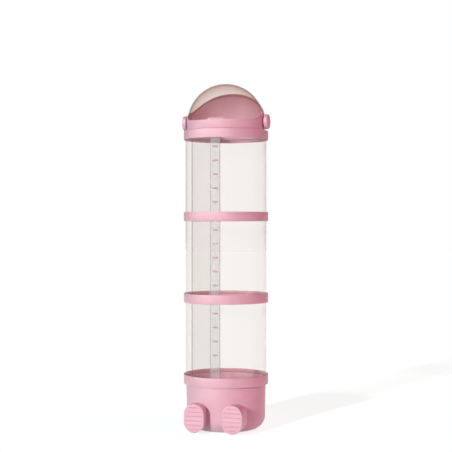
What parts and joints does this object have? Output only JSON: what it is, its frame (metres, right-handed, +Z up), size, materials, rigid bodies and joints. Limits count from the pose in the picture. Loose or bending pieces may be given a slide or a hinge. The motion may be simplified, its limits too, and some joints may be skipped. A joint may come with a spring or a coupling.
{
  "type": "stackable storage tower",
  "caption": "Tall round storage tower: footed tub, clear rolled tubes joined by open rings, and a helmet lid with a tilting smoke visor.",
  "frame": {"origin": "on the floor under the tower's axis, in the middle of the tub's flat bottom", "axes": "+Z up along the tower, -Y to the front where the feet, the seams and the visor face"},
  "size_m": [0.3474, 0.362, 1.3522],
  "materials": {
    "pink_abs": "satin moulded",
    "rivet_pink": "satin moulded",
    "clear_sheet": "clear gloss sheet",
    "frosted_strip": "translucent",
    "smoke_visor": "clear gloss, smoke tint",
    "white_nylon": "matt",
    "screw_steel": "zinc plated"
  },
  "bodies": {
    "base": {"base_tub": "pink_abs", "left_leg": "pink_abs", "left_sole": "pink_abs", "left_leg_screw_1": "screw_steel", "left_leg_screw_2": "screw_steel", "right_leg": "pink_abs", "right_sole": "pink_abs", "right_leg_screw_1": "screw_steel", "right_leg_screw_2": "screw_steel"},
    "lower_sheet": {"lower_sheet": "clear_sheet", "lower_seam_strip": "frosted_strip", "lower_rivet_1": "rivet_pink", "lower_rivet_2": "rivet_pink", "lower_rivet_3": "rivet_pink", "lower_rivet_4": "rivet_pink", "lower_rivet_5": "rivet_pink"},
    "lower_ring": {"lower_ring": "pink_abs"},
    "middle_sheet": {"middle_sheet": "clear_sheet", "middle_seam_strip": "frosted_strip", "middle_rivet_1": "rivet_pink", "middle_rivet_2": "rivet_pink", "middle_rivet_3": "rivet_pink", "middle_rivet_4": "rivet_pink", "middle_rivet_5": "rivet_pink"},
    "upper_ring": {"upper_ring": "pink_abs"},
    "upper_sheet": {"upper_sheet": "clear_sheet", "upper_seam_strip": "frosted_strip", "upper_rivet_1": "rivet_pink", "upper_rivet_2": "rivet_pink", "upper_rivet_3": "rivet_pink", "upper_rivet_4": "rivet_pink", "upper_rivet_5": "rivet_pink"},
    "lid": {"helmet_shell": "pink_abs", "left_knob_washer": "white_nylon", "right_knob_washer": "white_nylon"},
    "visor": {"visor": "smoke_visor", "left_knob": "pink_abs", "right_knob": "pink_abs", "left_knob_screw": "screw_steel", "right_knob_screw": "screw_steel"}
  },
  "joints": [
    {"name": "lower_sheet_lift", "type": "slide", "parent": "base", "child": "lower_sheet", "axis": [0, 0, 1], "range_m": [0, 0.05]},
    {"name": "lower_ring_lift", "type": "slide", "parent": "lower_sheet", "child": "lower_ring", "axis": [0, 0, 1], "range_m": [0, 0.042]},
    {"name": "middle_sheet_lift", "type": "slide", "parent": "lower_ring", "child": "middle_sheet", "axis": [0, 0, 1], "range_m": [0, 0.036]},
    {"name": "upper_ring_lift", "type": "slide", "parent": "middle_sheet", "child": "upper_ring", "axis": [0, 0, 1], "range_m": [0, 0.041]},
    {"name": "upper_sheet_lift", "type": "slide", "parent": "upper_ring", "child": "upper_sheet", "axis": [0, 0, 1], "range_m": [0, 0.043]},
    {"name": "lid_lift", "type": "slide", "parent": "upper_sheet", "child": "lid", "axis": [0, 0, 1], "range_m": [0, 0.048]},
    {"name": "visor_hinge", "type": "hinge", "parent": "lid", "child": "visor", "pos_m": [0, 0, 1.2008], "axis": [-1, 0, 0], "range_deg": [0, 122]}
  ]
}
